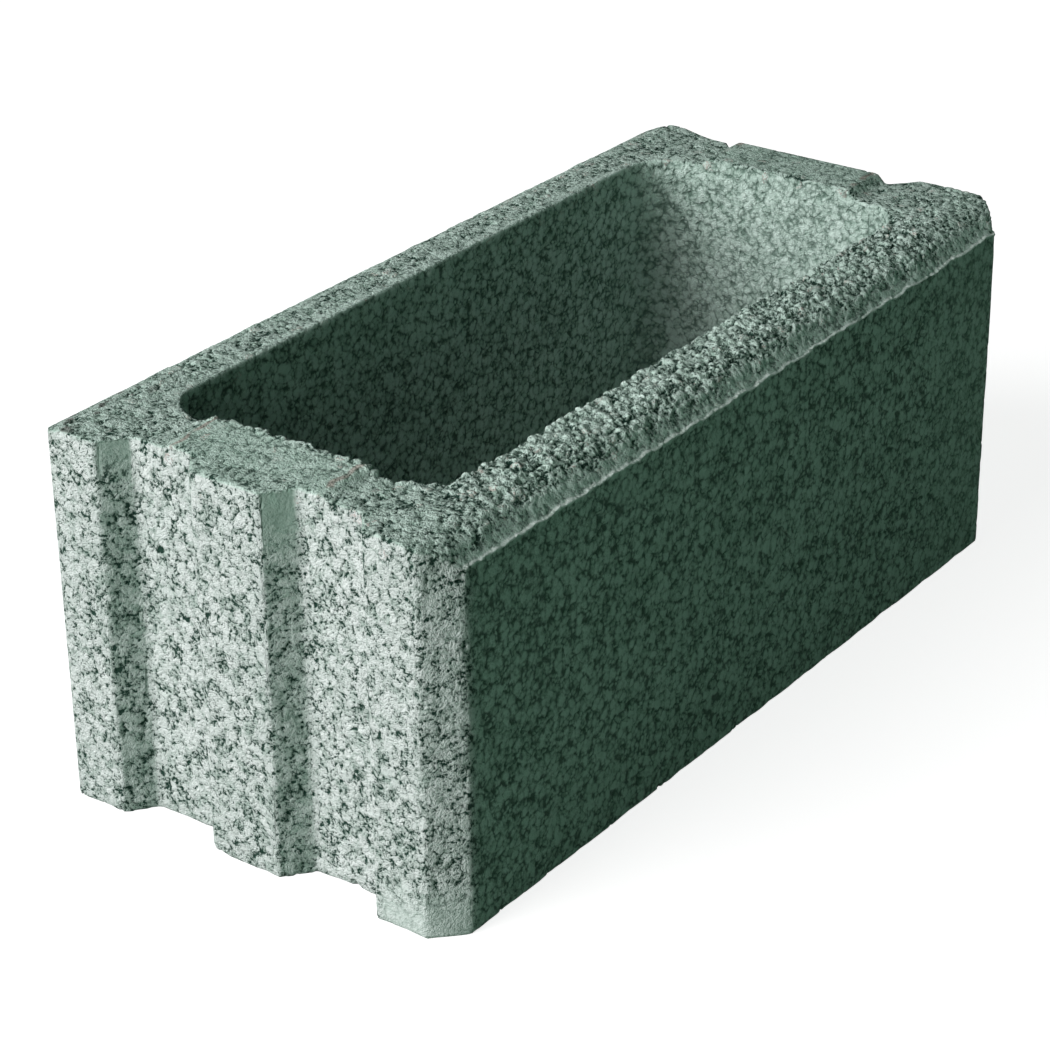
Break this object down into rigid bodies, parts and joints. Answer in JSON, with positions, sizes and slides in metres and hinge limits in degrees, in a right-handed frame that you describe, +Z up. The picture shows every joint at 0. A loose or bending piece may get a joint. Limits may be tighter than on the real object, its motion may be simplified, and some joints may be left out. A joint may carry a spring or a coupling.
{
  "type": "hollow concrete block",
  "caption": "Hollow concrete wall block with a large open cavity, upright key grooves at the ends, chamfered corners and raised pads on the end walls; laid in courses and filled with concrete.",
  "frame": {"origin": "middle of the block's box, on the bed face", "axes": "+X along the length, from the grooved end to the recessed end; +Y across the width; +Z up from the bed to the top"},
  "size_m": [0.5, 0.24, 0.2],
  "materials": {
    "concrete": "rough, open-textured, matt grey with a green cast"
  },
  "bodies": {
    "root": {"block": "concrete"}
  },
  "joints": []
}
